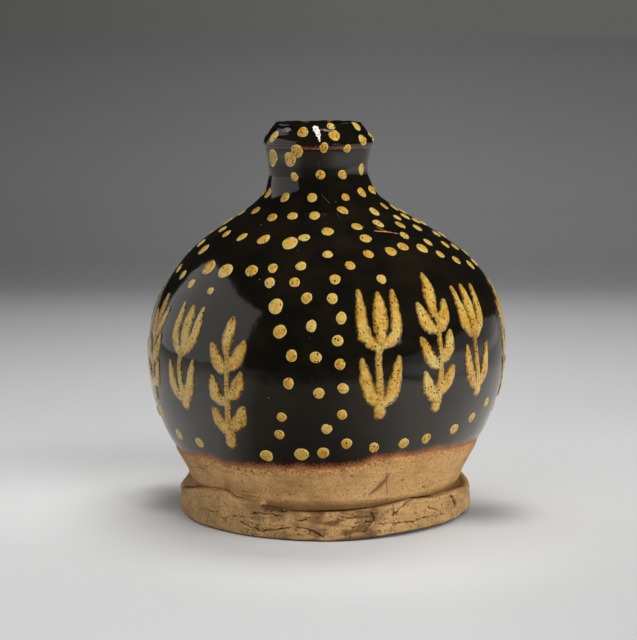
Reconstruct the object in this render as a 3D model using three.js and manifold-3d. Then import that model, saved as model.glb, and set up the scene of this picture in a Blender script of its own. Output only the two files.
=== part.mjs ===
import * as THREE from 'three';
import Module from 'manifold-3d';
import { mergeVertices } from 'three/addons/utils/BufferGeometryUtils.js';

// A small round slipware bottle: a thrown clay pot with a luted foot band and a roll of
// clay round its mouth, under a dark glazed coat that is trailed with sprigs and dots.
// Millimetres, Z up. The origin is on the table under the belly. The front faces -Y.

// Sizes of the outer surface, as radius and height
const waist = new THREE.Vector2(49.6, 14);
const belly = new THREE.Vector2(64.3, 56.6);
const neck = new THREE.Vector2(17.7, 121.4);
const collar = new THREE.Vector2(19.1, 132.1);
const rim = new THREE.Vector2(14.4, 140);

// How far each end of an outline curve runs straight before it bends
const waistRise = 3;
const bellyDrop = 20;
const bellyRise = 47.7;
const neckDrop = 18.3;
const neckRise = 5;
const collarDrop = 2.5;
const collarRise = 4.2;
const rimSpread = 2.6;

// The pot was thrown a little out of true: sideways shift of its axis at some heights
const axisShift = [
  { height: 0, shift: -0.3 },
  { height: 30, shift: -0.3 },
  { height: 58.5, shift: 0 },
  { height: 86, shift: 0.8 },
  { height: 102, shift: -0.3 },
  { height: 114, shift: -1.9 },
  { height: 124, shift: -3 },
  { height: 140, shift: -2.7 },
];

// Clay walls
const wall = 5.4;
const baseRadius = 46;
const baseSide = 9.5;
const floorHeight = 9;
const floorRadius = 30;
const heelRadius = 44.5;
const innerWallStart = 22;
const neckEndRadius = 15;
const neckEndTop = 138.8;

// Foot band
const footRadius = 52.3;
const footHeight = 11.2;
const footClearance = 0.3;
const footInnerHeight = 9.1;
const footLedge = 3.2;
const footBottomEdge = { inset: 0.7, height: 1.3 };
const footTopEdge = { inset: 0.9, drop: 0.4, start: 1.8 };
const footUnevenness = 0.6;
const lapEnd = -22.5;
const lapLength = 42;
const lapRise = 3;
const lapSwell = 0.5;
const lapLedge = 0.8;

// Collar and mouth
const collarBottom = 131.5;
const collarBore = 15.3;
const collarInnerTop = 138.6;
const mouthRadius = 12.6;
const mouthEdgeDrop = 1;
const mouthEdgeReach = 0.3;
const mouthGlazeBottom = 136.5;

// Coat of dark slip and glaze
const coatThickness = 0.5;
const coatGap = 0.1;
const bareTop = 18;
const recessTop = 26;
const coatTop = 131.1;
const coatEdge = 28.8;
const coatEdgeWave = 2.2;

// Trailed slip stands on the coat
const slipLift = 0.3;
const slipThickness = 0.8;
const dotShoulder = { reach: 0.78, rise: 0.75 };
const trailCrown = 0.55;

// Facets and steps along the curves
const segments = 48;
const lowerSteps = 7;
const upperSteps = 11;
const neckSteps = 3;
const innerLowerSteps = 4;
const innerUpperSteps = 7;
const rimSteps = 4;
const floorSteps = 3;
const edgeSteps = 2;
const dotSides = 8;
const leafSteps = 3;
const stemSteps = 5;
const halvings = 40;

const clayColor = 0xae8653;
const glazeColor = 0x17120c;
const slipColor = 0xd6a645;

const wasm = await Module();
wasm.setup();

const vector = (radius, height) => new THREE.Vector2(radius, height);
const lowerCurve = new THREE.CubicBezierCurve(
  waist,
  vector(waist.x, waist.y + waistRise),
  vector(belly.x, belly.y - bellyDrop),
  belly,
);
const upperCurve = new THREE.CubicBezierCurve(
  belly,
  vector(belly.x, belly.y + bellyRise),
  vector(neck.x, neck.y - neckDrop),
  neck,
);
const neckCurve = new THREE.CubicBezierCurve(
  neck,
  vector(neck.x, neck.y + neckRise),
  vector(collar.x, collar.y - collarDrop),
  collar,
);
const rimCurve = new THREE.CubicBezierCurve(
  collar,
  vector(collar.x, collar.y + collarRise),
  vector(rim.x + rimSpread, rim.y),
  rim,
);
const outerCurves = [lowerCurve, upperCurve, neckCurve, rimCurve];

// Heights of a curve's evenly stepped points
function heightsOf(curve, steps) {
  return curve.getPoints(steps).map((point) => point.y);
}

// Point of the outer surface at a height, and the way it faces
function surfaceAt(height) {
  const curve = outerCurves.find((each) => height <= each.v3.y) ?? rimCurve;
  let low = 0;
  let high = 1;
  for (let halving = 0; halving < halvings; halving += 1) {
    const middle = (low + high) / 2;
    if (curve.getPoint(middle).y < height) {
      low = middle;
    } else {
      high = middle;
    }
  }
  const tangent = curve.getTangent(low);
  return { point: curve.getPoint(low), normal: vector(tangent.y, -tangent.x) };
}

// Outline point at a height, moved out from the surface or, below zero, into it
function offsetAt(height, offset) {
  const { point, normal } = surfaceAt(height);
  return point.addScaledVector(normal, offset);
}

function shiftAt(height) {
  const next = axisShift.findIndex((station) => height <= station.height);
  if (next === 0) {
    return axisShift[0].shift;
  }
  if (next < 0) {
    return axisShift.at(-1).shift;
  }
  const below = axisShift[next - 1];
  const above = axisShift[next];
  const part = THREE.MathUtils.smoothstep(height, below.height, above.height);
  return THREE.MathUtils.lerp(below.shift, above.shift, part);
}

// A place on the pot: angle in degrees from the front towards +X, with radius and height
function placeAt(angle, radius, height) {
  const turn = THREE.MathUtils.degToRad(angle);
  return new THREE.Vector3(
    shiftAt(height) + radius * Math.sin(turn),
    -radius * Math.cos(turn),
    height,
  );
}

function onSurface(angle, height, lift) {
  const outline = offsetAt(height, lift);
  return placeAt(angle, outline.x, outline.y);
}

function solidFrom(points, faces) {
  const geometry = new THREE.BufferGeometry();
  geometry.setFromPoints(points);
  geometry.setIndex(faces);
  return geometry;
}

// Two triangles between four corners, in the order that faces them out
function quad(a, b, c, d) {
  return [a, b, c, a, c, d];
}

// A closed ring whose section may change as it goes round
function ringFrom(sectionAt) {
  const points = [];
  const faces = [];
  const count = sectionAt(0).length;
  for (let step = 0; step < segments; step += 1) {
    const angle = (step * 360) / segments;
    for (const corner of sectionAt(angle > 180 ? angle - 360 : angle)) {
      points.push(placeAt(angle, corner.x, corner.y));
    }
    const here = step * count;
    const next = ((step + 1) % segments) * count;
    for (let corner = 0; corner < count; corner += 1) {
      const after = (corner + 1) % count;
      faces.push(...quad(here + corner, next + corner, next + after, here + after));
    }
  }
  return solidFrom(points, faces);
}

// How deep the clay is set back under the coat
function recessAt(height) {
  const full = coatThickness + coatGap;
  return full * THREE.MathUtils.smoothstep(height, bareTop, recessTop);
}

const coveredHeights = [
  ...heightsOf(lowerCurve, lowerSteps).slice(1, -1),
  ...heightsOf(upperCurve, upperSteps).slice(0, -1),
  ...heightsOf(neckCurve, neckSteps).slice(0, -1),
];

// The thrown pot: base, belly and neck in one wall round an open hollow
function thrownBody() {
  const outside = [waist.y, ...coveredHeights, coatTop].map((height) =>
    offsetAt(height, -recessAt(height)),
  );
  const innerHeights = [
    ...heightsOf(lowerCurve, innerLowerSteps).filter((height) => height > innerWallStart),
    ...heightsOf(upperCurve, innerUpperSteps).slice(1),
  ];
  const inside = innerHeights.reverse().map((height) => offsetAt(height, -wall));
  const heel = offsetAt(innerWallStart, -wall);
  const floor = new THREE.QuadraticBezierCurve(
    heel,
    vector(heelRadius, floorHeight),
    vector(floorRadius, floorHeight),
  );
  const outline = [
    vector(0, 0),
    vector(baseRadius, 0),
    vector(baseRadius, baseSide),
    ...outside,
    vector(neckEndRadius, collarBottom),
    vector(neckEndRadius, neckEndTop),
    vector(mouthRadius, neckEndTop),
    ...inside,
    ...floor.getPoints(floorSteps),
    vector(0, floorHeight),
  ];
  const geometry = new THREE.LatheGeometry(outline, segments);
  geometry.rotateX(Math.PI / 2);
  const position = geometry.getAttribute('position');
  for (let index = 0; index < position.count; index += 1) {
    position.setX(index, position.getX(index) + shiftAt(position.getZ(index)));
  }
  return geometry;
}

// The foot band is a strap of clay wrapped round the base. Its end laps over at the front
// left, where it stands higher, and the rest of its top is a little uneven.
function footSection(angle) {
  const behindEnd = lapEnd - angle;
  const onLap = behindEnd >= 0 && behindEnd < lapLength;
  const lap = onLap ? THREE.MathUtils.smoothstep(lapLength - behindEnd, 0, lapLength / 2) : 0;
  const wave = footUnevenness * Math.sin(THREE.MathUtils.degToRad(2 * angle - 20));
  const radius = footRadius + lapSwell * lap;
  const top = footHeight + wave + lapRise * lap;
  const inner = baseRadius + footClearance;
  return [
    vector(inner, 0),
    vector(radius - footBottomEdge.inset, 0),
    vector(radius, footBottomEdge.height),
    vector(radius, top - footTopEdge.start),
    vector(radius - footTopEdge.inset, top - footTopEdge.drop),
    vector(inner + footLedge + lapLedge * lap, top),
    vector(inner, footInnerHeight),
  ];
}

// The coat hangs from the neck over the belly and ends in a wavy lower edge: one broad
// wave of two crests round the pot, with five small ones on it
function coatSection(angle) {
  const turn = THREE.MathUtils.degToRad(angle);
  const wave = 0.9 * Math.sin(turn * 2 - 0.17) + 0.2 * Math.cos(turn * 5);
  const edge = coatEdge + coatEdgeWave * wave;
  const fixed = coveredHeights.filter((height) => height > coatEdge + 2 * coatEdgeWave);
  const low = Array.from({ length: edgeSteps }, (_, step) =>
    THREE.MathUtils.lerp(edge, fixed[0], step / edgeSteps),
  );
  const heights = [...low, ...fixed, coatTop];
  return [
    ...heights.map((height) => offsetAt(height, 0)),
    ...heights.reverse().map((height) => offsetAt(height, -coatThickness)),
  ];
}

const rimHeights = heightsOf(rimCurve, rimSteps);

// The roll of clay round the mouth, under its own skin of glaze
function collarSection() {
  const depth = coatThickness + coatGap;
  const outside = [collarBottom, ...rimHeights.slice(0, -1)].map((height) =>
    offsetAt(height, -depth),
  );
  return [...outside, vector(collarBore, collarInnerTop), vector(collarBore, collarBottom)];
}

function collarGlazeSection() {
  const bore = offsetAt(neck.y, -wall).x;
  const heights = [collarBottom, ...rimHeights];
  const outside = heights.map((height) => offsetAt(height, 0));
  const inside = heights.reverse().map((height) => offsetAt(height, -coatThickness));
  return [
    ...outside,
    vector(mouthRadius, rim.y),
    vector(bore - mouthEdgeReach, rim.y - mouthEdgeDrop),
    vector(bore - coatThickness, mouthGlazeBottom),
    vector(bore - coatGap, mouthGlazeBottom),
    vector(bore - coatGap, rim.y - coatThickness),
    ...inside,
  ];
}

// One drop of slip, let fall from the quill
function dropGeometry(angle, height, radius) {
  const rings = [
    { reach: radius, lift: slipLift },
    { reach: radius * dotShoulder.reach, lift: slipLift + slipThickness * dotShoulder.rise },
  ];
  const round = surfaceAt(height).point.x;
  const slope = surfaceAt(height).normal.x;
  const points = [
    onSurface(angle, height, slipLift),
    onSurface(angle, height, slipLift + slipThickness),
  ];
  for (const ring of rings) {
    for (let side = 0; side < dotSides; side += 1) {
      const turn = (side * 2 * Math.PI) / dotSides;
      const across = THREE.MathUtils.radToDeg((ring.reach * Math.cos(turn)) / round);
      const up = ring.reach * Math.sin(turn) * slope;
      points.push(onSurface(angle + across, height + up, ring.lift));
    }
  }
  const faces = [];
  for (let side = 0; side < dotSides; side += 1) {
    const edge = 2 + side;
    const nextEdge = 2 + ((side + 1) % dotSides);
    faces.push(0, nextEdge, edge);
    faces.push(...quad(edge, nextEdge, nextEdge + dotSides, edge + dotSides));
    faces.push(1, edge + dotSides, nextEdge + dotSides);
  }
  return solidFrom(points, faces);
}

// One trailed line of slip along a path drawn across the pot in millimetres,
// with its width at the first end, in the middle and at the last end
function trailGeometry(centre, path, [first, middle, last], steps) {
  const curve = new THREE.SplineCurve(path);
  const points = [];
  const faces = [];
  for (let step = 0; step <= steps; step += 1) {
    const part = step / steps;
    const here = curve.getPoint(part);
    const along = curve.getTangent(part);
    const ends = THREE.MathUtils.lerp(first, last, part);
    const swell = 4 * part * (1 - part) * (middle - (first + last) / 2);
    const half = (ends + swell) / 2;
    const corners = [
      { side: -1, lift: slipLift },
      { side: 1, lift: slipLift },
      { side: trailCrown, lift: slipLift + slipThickness },
      { side: -trailCrown, lift: slipLift + slipThickness },
    ];
    for (const corner of corners) {
      const across = here.x + along.y * half * corner.side;
      const up = here.y - along.x * half * corner.side;
      const height = centre.height + up;
      const turn = THREE.MathUtils.radToDeg(across / surfaceAt(height).point.x);
      points.push(onSurface(centre.angle + turn, height, corner.lift));
    }
  }
  for (let step = 0; step < steps; step += 1) {
    const here = step * 4;
    for (let corner = 0; corner < 4; corner += 1) {
      const after = (corner + 1) % 4;
      faces.push(...quad(here + corner, here + 4 + corner, here + 4 + after, here + after));
    }
  }
  const tip = steps * 4;
  faces.push(...quad(0, 1, 2, 3));
  faces.push(...quad(tip + 3, tip + 2, tip + 1, tip));
  return solidFrom(points, faces);
}

function toSolid(geometry) {
  return new wasm.Manifold(
    new wasm.Mesh({
      numProp: 3,
      vertProperties: geometry.getAttribute('position').array,
      triVerts: new Uint32Array(geometry.index.array),
    }),
  );
}

function joined(geometries) {
  const whole = geometries.map(toSolid).reduce((sum, solid) => sum.add(solid));
  const mesh = whole.getMesh();
  const geometry = new THREE.BufferGeometry();
  geometry.setAttribute('position', new THREE.BufferAttribute(mesh.vertProperties, 3));
  geometry.setIndex(new THREE.BufferAttribute(mesh.triVerts, 1));
  return mergeVertices(geometry);
}

// A laurel: a stem with three pairs of leaves and one at its tip
function laurelGeometry(centre, height) {
  const half = height / 2;
  const stem = [vector(-0.8, -half), vector(0.5, -half * 0.3), vector(0, half * 0.7)];
  const tip = [vector(0, half * 0.45), vector(0.4, half)];
  const trails = [
    trailGeometry(centre, stem, [3.6, 3.4, 2.6], stemSteps),
    trailGeometry(centre, tip, [2, 5, 1], leafSteps),
  ];
  for (const fork of [-0.8, -0.3, 0.2]) {
    for (const side of [-1, 1]) {
      const root = half * fork + side * 0.7;
      const leaf = [
        vector(0, root),
        vector(side * 4, root + 4),
        vector(side * 5.6, root + 10.5),
      ];
      trails.push(trailGeometry(centre, leaf, [1.8, 4.8, 1], leafSteps));
    }
  }
  return joined(trails);
}

// A tulip: three petals on a stem, with two leaves low down
function tulipGeometry(centre, height) {
  const half = height / 2;
  const stem = [vector(0.6, -half), vector(-0.5, -half * 0.2), vector(0, half * 0.4)];
  const heart = [vector(0, half * 0.15), vector(0, half * 0.92)];
  const trails = [
    trailGeometry(centre, stem, [4, 3.6, 3], stemSteps),
    trailGeometry(centre, heart, [3, 5.4, 1.2], leafSteps),
  ];
  for (const side of [-1, 1]) {
    const petal = [
      vector(0, half * 0.05),
      vector(side * 4.8, half * 0.4),
      vector(side * 5.2, half),
    ];
    const leaf = [
      vector(0, -half * 0.9),
      vector(side * 4.2, -half * 0.65),
      vector(side * 5.8, -half * 0.15),
    ];
    trails.push(trailGeometry(centre, petal, [2.6, 4.6, 1.2], leafSteps));
    trails.push(trailGeometry(centre, leaf, [1.8, 4.8, 1], leafSteps));
  }
  return joined(trails);
}

// Sprigs stand in a band round the belly: middle angle, and heights of foot and tip
const sprigs = [
  { angle: -70.5, foot: 44.3, tip: 81.5, draw: laurelGeometry },
  { angle: -50.5, foot: 44.7, tip: 80, draw: tulipGeometry },
  { angle: -31.5, foot: 33.3, tip: 77.8, draw: laurelGeometry },
  { angle: 15.5, foot: 46, tip: 87, draw: tulipGeometry },
  { angle: 35.5, foot: 45.5, tip: 90.3, draw: laurelGeometry },
  { angle: 53.5, foot: 48.8, tip: 86.3, draw: tulipGeometry },
  { angle: 83, foot: 44.5, tip: 84.5, draw: laurelGeometry },
  { angle: 106, foot: 45, tip: 84, draw: tulipGeometry },
  { angle: 130, foot: 43, tip: 86, draw: laurelGeometry },
  { angle: -146, foot: 45, tip: 84, draw: tulipGeometry },
  { angle: -121, foot: 43, tip: 85, draw: laurelGeometry },
  { angle: -96, foot: 45, tip: 82, draw: tulipGeometry },
];

// Dots of slip, row by row: angle, height and, where it isn't the row's own, radius
const dotRows = [
  {
    name: 'collar_dot',
    radius: 2.1,
    dots: [[-58, 135.2], [-18.5, 137], [18, 136], [54, 134], [86, 134.5],
      [125, 136], [168, 135], [-150, 136.4], [-105, 135]],
  },
  {
    name: 'neck_dot',
    radius: 1.9,
    dots: [[-28.5, 121.4], [3, 122.4], [29, 122.4], [58.5, 124.2], [130, 122], [-130, 121.5]],
  },
  {
    name: 'shoulder_dot',
    radius: 2,
    dots: [[-64, 109.1], [-39, 107.7], [-23, 108.5], [-6, 108.8], [17, 110.3], [44, 109.3]],
  },
  {
    name: 'roundel_dot',
    radius: 2.1,
    dots: [[-7.5, 84.3], [1.1, 84.1], [-17.6, 81.5, 2.7], [4, 78.1], [-5.3, 75.6], [-15, 73.5, 2.4],
      [3, 70.9], [-10.7, 65.9, 2.2], [-3.4, 65.5, 2.2], [3.9, 63.3], [-11.4, 56.8], [-2.3, 53.7],
      [4.9, 55.2], [-21.6, 88.5], [2.4, 90]],
  },
  {
    name: 'lower_dot',
    radius: 2,
    dots: [[-13.7, 45.1], [-14.8, 38.8], [4.8, 46.2], [6.7, 36], [-8, 31.8, 2.7]],
  },
];

const bottle = new THREE.Group();

function addPiece(name, geometry, color, roughness) {
  const material = new THREE.MeshStandardMaterial({ color, roughness, metalness: 0 });
  const piece = new THREE.Mesh(geometry, material);
  piece.name = name;
  bottle.add(piece);
}

addPiece('thrown_body', thrownBody(), clayColor, 0.85);
addPiece('foot_band', ringFrom(footSection), clayColor, 0.9);
addPiece('rim_collar', ringFrom(collarSection), clayColor, 0.85);
addPiece('glaze_coat', ringFrom(coatSection), glazeColor, 0.12);
addPiece('collar_glaze', ringFrom(collarGlazeSection), glazeColor, 0.12);

sprigs.forEach((sprig, index) => {
  const centre = { angle: sprig.angle, height: (sprig.foot + sprig.tip) / 2 };
  const number = String(index + 1).padStart(2, '0');
  addPiece(`sprig_${number}`, sprig.draw(centre, sprig.tip - sprig.foot), slipColor, 0.2);
});

for (const row of dotRows) {
  row.dots.forEach(([angle, height, radius = row.radius], index) => {
    const number = String(index + 1).padStart(2, '0');
    addPiece(`${row.name}_${number}`, dropGeometry(angle, height, radius), slipColor, 0.2);
  });
}

export default bottle;
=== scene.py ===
# A small round slipware bottle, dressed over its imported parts
import math
import random

import bmesh
import bpy
import numpy as np
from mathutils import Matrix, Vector, kdtree, noise


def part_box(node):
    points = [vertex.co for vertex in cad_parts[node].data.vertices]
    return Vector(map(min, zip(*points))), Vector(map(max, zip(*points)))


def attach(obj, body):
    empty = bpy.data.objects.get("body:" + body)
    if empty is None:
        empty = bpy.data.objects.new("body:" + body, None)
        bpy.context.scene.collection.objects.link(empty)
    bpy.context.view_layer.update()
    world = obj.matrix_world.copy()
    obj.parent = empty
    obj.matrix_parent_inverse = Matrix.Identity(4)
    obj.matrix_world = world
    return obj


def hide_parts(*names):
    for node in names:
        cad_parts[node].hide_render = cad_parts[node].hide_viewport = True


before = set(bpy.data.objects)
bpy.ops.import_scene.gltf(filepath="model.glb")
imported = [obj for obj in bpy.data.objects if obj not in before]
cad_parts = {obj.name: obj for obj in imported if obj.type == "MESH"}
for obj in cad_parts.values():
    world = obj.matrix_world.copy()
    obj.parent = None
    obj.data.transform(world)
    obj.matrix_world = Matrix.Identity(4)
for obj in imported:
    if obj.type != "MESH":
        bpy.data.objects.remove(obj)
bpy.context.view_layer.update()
print("frame loaded,", len(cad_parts), "parts")

mm = 0.001  # sizes below are in millimetres, the scene is in metres

# The view that the bottle is matched in: a frame in pixels, the eye in mm, the tilt in degrees
view = {
    "width": 637,
    "height": 640,
    "eye": (-2.7, -715, 173.4),
    "tilt": 8.33,
    "focal": 2002,
    "reach": (620, 800),  # the pot lies between these distances from the eye, mm
}

coatLow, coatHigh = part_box("glaze_coat")
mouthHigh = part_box("collar_glaze")[1]
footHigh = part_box("foot_band")[1]

# The thrown shape: radius and height where the outline's curves meet, and how they bend
pot = {
    "heel": (46.5, 8.5),
    "waist": (49.6, 14),
    "belly": ((coatHigh.x - coatLow.x) / 2 / mm, 56.6),
    "neck": (17.7, 121.4),
    "collar": (19.1, 132.1),
    "rim": (14.4, mouthHigh.z / mm),
    "waistRise": 3,
    "bellyDrop": 20,
    "bellyRise": 47.7,
    "neckDrop": 18.3,
    "neckRise": 5,
    "collarDrop": 2.5,
    "collarRise": 3.2,
    "rimSpread": 1.2,
    "wall": 5.4,
    # sideways shift of the axis at some heights, because it was thrown out of true
    "leans": [(0, -0.3), (30, -0.3), (58.5, 0), (86, 0.8), (102, -0.3), (114, -1.9), (124, -3), (140, -2.7)],
    # soft unevenness left by the hand: depth, waves round, waves per mm of height, phase
    "lumps": [(0.10, 2, 0.05, 0.4), (0.09, 3, -0.08, 2.1), (0.05, 5, 0.12, 4.4), (0.03, 8, 0.17, 1.2),
              (0.02, 2, 0.62, 3.3)],
}


def bend(start, first, second, end, steps=120):
    # points of one curve of the outline
    t = np.linspace(0, 1, steps)[:, None]
    a, b, c, d = (np.array(corner, float) for corner in (start, first, second, end))
    return (1 - t) ** 3 * a + 3 * (1 - t) ** 2 * t * b + 3 * (1 - t) * t**2 * c + t**3 * d


def moved(corner, rise, spread=0):
    return corner[0] + spread, corner[1] + rise


def potOutline():
    waist, belly, neck, collar, rim = (pot[name] for name in ("waist", "belly", "neck", "collar", "rim"))
    parts = [
        np.array([pot["heel"], waist], float),
        bend(waist, moved(waist, pot["waistRise"]), moved(belly, -pot["bellyDrop"]), belly)[1:],
        bend(belly, moved(belly, pot["bellyRise"]), moved(neck, -pot["neckDrop"]), neck)[1:],
        bend(neck, moved(neck, pot["neckRise"]), moved(collar, -pot["collarDrop"]), collar)[1:],
        bend(collar, moved(collar, pot["collarRise"]), moved(rim, 0, pot["rimSpread"]), rim)[1:],
    ]
    return np.vstack(parts)


outline = potOutline()
along = np.gradient(outline, axis=0)
along /= np.linalg.norm(along, axis=1)[:, None]


def shiftAt(z):
    z = np.asarray(z, float)
    leans = pot["leans"]
    shift = np.full(z.shape, float(leans[0][1]))
    for (low, before), (high, after) in zip(leans, leans[1:]):
        t = np.clip((z - low) / (high - low), 0, 1)
        shift = shift + (after - before) * t * t * (3 - 2 * t)
    return shift


def radiusAt(z):
    return np.interp(z, outline[:, 1], outline[:, 0])


def steepAt(z):
    # how steep the outline is: 1 where it stands upright, 0 where it lies level
    return np.interp(z, outline[:, 1], along[:, 1])


def ringAt(radius, z, turns):
    # a level ring of points round the pot's axis, mm
    return np.stack([shiftAt(z) + radius * np.sin(turns), -radius * np.cos(turns), z + 0 * turns], -1)


def lumpAt(turn, z):
    return sum(depth * np.sin(count * turn + rise * z + phase) for depth, count, rise, phase in pot["lumps"])


def onPot(turn, z, lift=0.0):
    # points on the pot, mm: turn in radians from the front towards +X, lifted off the surface
    radius = radiusAt(z)
    out = steepAt(z)
    up = -np.interp(z, outline[:, 1], along[:, 0])
    lift = lift + lumpAt(turn, z)
    height = z + up * lift
    reach = radius + out * lift
    return np.stack([shiftAt(height) + reach * np.sin(turn), -reach * np.cos(turn), height], -1)


tilt = math.radians(view["tilt"])
eye = np.array(view["eye"], float)
ahead = np.array([0, math.cos(tilt), -math.sin(tilt)])
upward = np.array([0, math.sin(tilt), math.cos(tilt)])


def toView(points):
    # where points in mm show in the matched view, in pixels
    offset = np.asarray(points, float) - eye
    depth = offset @ ahead
    across = view["width"] / 2 + view["focal"] * offset[..., 0] / depth
    down = view["height"] / 2 - view["focal"] * (offset @ upward) / depth
    return np.stack([across, down], -1)


def castOnPot(x, y):
    # turn and height of the place on the pot that shows at a pixel; past the edge, the nearest place
    direction = ahead.copy()
    direction[0] += (x - view["width"] / 2) / view["focal"]
    direction -= upward * (y - view["height"] / 2) / view["focal"]
    direction /= np.linalg.norm(direction)
    steps = eye + np.arange(*view["reach"], 0.1)[:, None] * direction
    side = steps[:, 0] - shiftAt(steps[:, 2])
    gap = np.hypot(side, steps[:, 1]) - radiusAt(steps[:, 2])
    inside = np.flatnonzero(gap < 0)
    hit = inside[0] if len(inside) else int(np.argmin(gap))
    return math.atan2(side[hit], -steps[hit, 1]), float(steps[hit, 2])


def markAlong(points, path, wander=None):
    # 1 on a line drawn in the matched view, falling to 0 at its points' half widths, in pixels
    seen = toView(points)
    if wander is not None:
        seen = seen + wander
    mark = np.zeros(len(points))
    for (x0, y0, half0), (x1, y1, half1) in zip(path, path[1:]):
        step = np.array([x1 - x0, y1 - y0], float)
        offset = seen - (x0, y0)
        t = np.clip(offset @ step / max(step @ step, 1e-6), 0, 1)
        gap = np.linalg.norm(offset - t[:, None] * step, axis=1)
        mark = np.maximum(mark, 1 - gap / (half0 + (half1 - half0) * t))
    return np.where(points[:, 1] < 0, np.clip(mark, 0, 1), 0)


def markAll(points, paths, wander=None):
    mark = np.zeros(len(points))
    for path in paths:
        mark = np.maximum(mark, markAlong(points, path, wander))
    return mark


def roughAt(points, size, seed):
    # smooth noise from -1 to 1 with lumps of about that size in mm
    shift = Vector((seed * 17.3, seed * -5.1, seed * 9.7))
    return np.array([noise.noise(Vector(point) / size + shift) for point in points])


def smooth(t):
    t = np.clip(t, 0, 1)
    return t * t * (3 - 2 * t)


# Meshes

def meshPiece(name, points, faces, marks, material, slot, *nodes):
    # one piece from points in mm, with its marks for the material and the nodes it stands for; slot is not
    # used
    mesh = bpy.data.meshes.new(name)
    mesh.from_pydata((np.asarray(points) * mm).tolist(), [], faces)
    for mark, values in marks.items():
        layer = mesh.attributes.new(mark, "FLOAT", "POINT")
        layer.data.foreach_set("value", np.asarray(values, np.float32).ravel())
    form = bmesh.new()
    form.from_mesh(mesh)
    bmesh.ops.remove_doubles(form, verts=form.verts, dist=0.002 * mm)
    bmesh.ops.recalc_face_normals(form, faces=form.faces)
    form.to_mesh(mesh)
    form.free()
    mesh.shade_smooth()
    mesh.materials.append(material)
    piece = bpy.data.objects.new(name, mesh)
    bpy.context.scene.collection.objects.link(piece)
    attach(piece, "root")
    if nodes:
        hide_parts(*nodes)


def ringFaces(rows, columns, closed):
    # faces of a grid that closes round the pot and, where asked, round its section
    faces = []
    for row in range(rows if closed else rows - 1):
        low = row * columns
        high = (row + 1) % rows * columns
        for column in range(columns):
            after = (column + 1) % columns
            faces.append((low + column, low + after, high + after, high + column))
    return faces


# Materials

def linear(shade):
    # sRGB hex to the linear colour that a node takes
    parts = [int(shade[i:i + 2], 16) / 255 for i in (0, 2, 4)]
    return tuple(c / 12.92 if c <= 0.04045 else ((c + 0.055) / 1.055) ** 2.4 for c in parts) + (1.0,)


# which output a node stands for where it isn't the first one
mainOutput = {"ShaderNodeMix": 2, "ShaderNodeAttribute": 2, "ShaderNodeVectorMath": 1}


def addNode(tree, kind, *feeds, **settings):
    # One node: what feeds its first inputs, each a value, an output or a node, then its settings.
    # "stops" are a colour ramp's places and sRGB colours, "range" the ends that a value is mapped
    # from and to, and "size" a pattern's size in mm. Every mix here is one of colours.
    node = tree.nodes.new("ShaderNode" + kind)
    places = (0, 1, 2)
    if kind == "Mix":
        node.data_type = "RGBA"
        places = (0, 6, 7)
    for name, value in (*zip(places, feeds), *settings.items()):
        if name == "stops":
            ramp = node.color_ramp
            while len(ramp.elements) < len(value):
                ramp.elements.new(1)
            for element, (place, shade) in zip(ramp.elements, value):
                element.position = place
                element.color = linear(shade)
        elif name == "range":
            for end, number in zip(("From Min", "From Max", "To Min", "To Max"), value):
                node.inputs[end].default_value = number
        elif name == "size":
            node.inputs["Scale"].default_value = 1 / (value * mm)
        elif isinstance(value, bpy.types.Node):
            tree.links.new(value.outputs[mainOutput.get(value.bl_idname, 0)], node.inputs[name])
        elif isinstance(value, bpy.types.NodeSocket):
            tree.links.new(value, node.inputs[name])
        elif isinstance(name, int) or name in node.inputs:
            node.inputs[name].default_value = value
        else:
            setattr(node, name, value)
    return node


def newMaterial(name):
    material = bpy.data.materials.new(name)
    material.use_nodes = True
    tree = material.node_tree
    tree.nodes.clear()
    return material, tree


def holesIn(tree, place, spacing, widths, rim):
    # round holes of many widths, one in each cell: 1 inside them
    cells = addNode(tree, "TexVoronoi", place, size=spacing, Randomness=1.0)
    some = addNode(tree, "SeparateColor", cells.outputs["Color"])
    wide = addNode(tree, "MapRange", some, range=widths)
    near = addNode(tree, "Math", wide, cells, operation="SUBTRACT")
    return addNode(tree, "MapRange", near, range=rim)


glaze = {
    "name": "lead_glaze_over_dark_slip",
    "dark": "0b0a07",
    "warm": "19130a",
    "cloud": 14,  # size of the brown clouds, mm
    "pale": "75694f",
    "speck": 4.5,  # spacing of the pale specks, mm
    "speckless": 0.72,  # the share of those places that have none
    "swell": 7,  # size of the soft waves in its surface, mm
    "dimple": 1.6,  # spacing of the fine dimples, mm
    "fray": 0.65,  # grain of the ragged lower edge, mm
    # down that edge, from the dark coat to the clay
    "rust": [(0.0, "120d08"), (0.14, "2a120a"), (0.34, "4c210f"), (0.55, "6b3717"), (0.78, "8c5526"),
             (1.0, "a06d3a")],
    "dry": 0.75,  # roughness where it ran out
    "ior": 1.58,
    "roughness": 0.1,
}


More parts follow.
